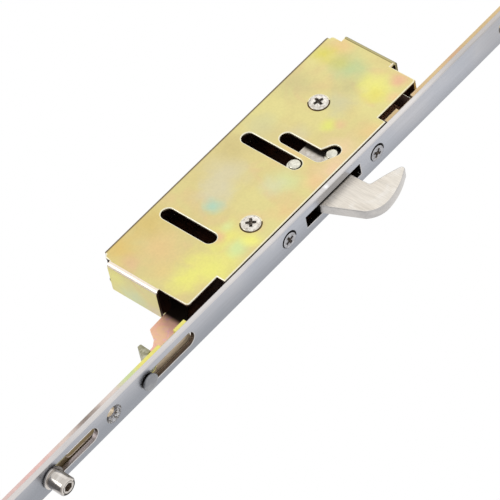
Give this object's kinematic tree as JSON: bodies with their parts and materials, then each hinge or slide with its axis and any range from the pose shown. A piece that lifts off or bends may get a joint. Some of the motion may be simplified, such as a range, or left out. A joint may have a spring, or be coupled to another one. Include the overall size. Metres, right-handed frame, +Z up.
{
  "type": "multipoint door lock",
  "caption": "Hook and roller section of a multipoint door lock: slotted sheet-metal case behind a narrow faceplate, with a sliding drive rail that draws the hook in.",
  "frame": {"origin": "on the back face of the faceplate, midway between the two door fixing holes", "axes": "+X out of the door edge, in the direction in which the hook is thrown; +Z up along the faceplate; the case cover faces -Y"},
  "size_m": [0.0821, 0.0199, 0.436],
  "materials": {
    "faceplate": "satin zinc-plated steel, fine lengthwise grain",
    "bar_lower": "pale yellow passivated steel",
    "bar_upper": "gold yellow passivated steel",
    "cover": "yellow passivated sheet steel with faint iridescent patches",
    "base": "yellow passivated sheet steel",
    "slider": "pink-orange passivated steel",
    "hook": "brushed nickel-plated steel",
    "bright": "bright nickel-plated steel",
    "screw": "bright zinc-plated steel",
    "stud": "grey satin steel",
    "stainless": "turned stainless steel",
    "zinc": "olive-grey cast zinc alloy",
    "dark": "dark phosphated steel"
  },
  "bodies": {
    "lock_body": {"faceplate": "faceplate", "case_cover": "cover", "case_base": "base", "cover_pillars": "dark", "cover_screws": "screw", "fixing_blocks": "dark", "block_rivets": "stud", "case_fixing_screws": "screw", "slider_posts": "stud"},
    "drive_rail": {"drive_bar_lower": "bar_lower", "drive_bar_upper": "bar_upper", "slider_plate": "slider", "guide_stud_lower": "stud", "guide_stud_upper": "stud", "guide_cleat": "zinc"},
    "hook_carriage": {"pivot_pin": "bright", "pivot_collars": "dark"},
    "hook": {"hook_bolt": "hook", "guide_pin": "bright"},
    "roller_eccentric": {"roller_stem": "stainless", "roller_clip": "dark"},
    "roller": {"roller_sleeve": "stainless"}
  },
  "joints": [
    {"name": "drive_slide", "type": "slide", "parent": "lock_body", "child": "drive_rail", "axis": [0, 0, 1], "range_m": [0, 0.025]},
    {"name": "hook_draw", "type": "slide", "parent": "lock_body", "child": "hook_carriage", "axis": [-1, 0, 0], "range_m": [0, 0.0267]},
    {"name": "hook_tilt", "type": "hinge", "parent": "hook_carriage", "child": "hook", "pos_m": [-0.0184, 0, 0.0116], "axis": [0, 1, 0], "range_deg": [0, 24.1]},
    {"name": "roller_setting", "type": "hinge", "parent": "drive_rail", "child": "roller_eccentric", "pos_m": [0, 0, -0.1734], "axis": [1, 0, 0], "range_deg": [-90, 90]},
    {"name": "roller_spin", "type": "hinge", "parent": "roller_eccentric", "child": "roller", "pos_m": [0, 0, -0.1726], "axis": [1, 0, 0], "continuous": true}
  ],
  "couplings": [
    {"joint": "hook_draw", "follows": "drive_slide", "ratio": 1.0679},
    {"joint": "hook_tilt", "follows": "drive_slide", "rad_per_m": 16.82}
  ]
}
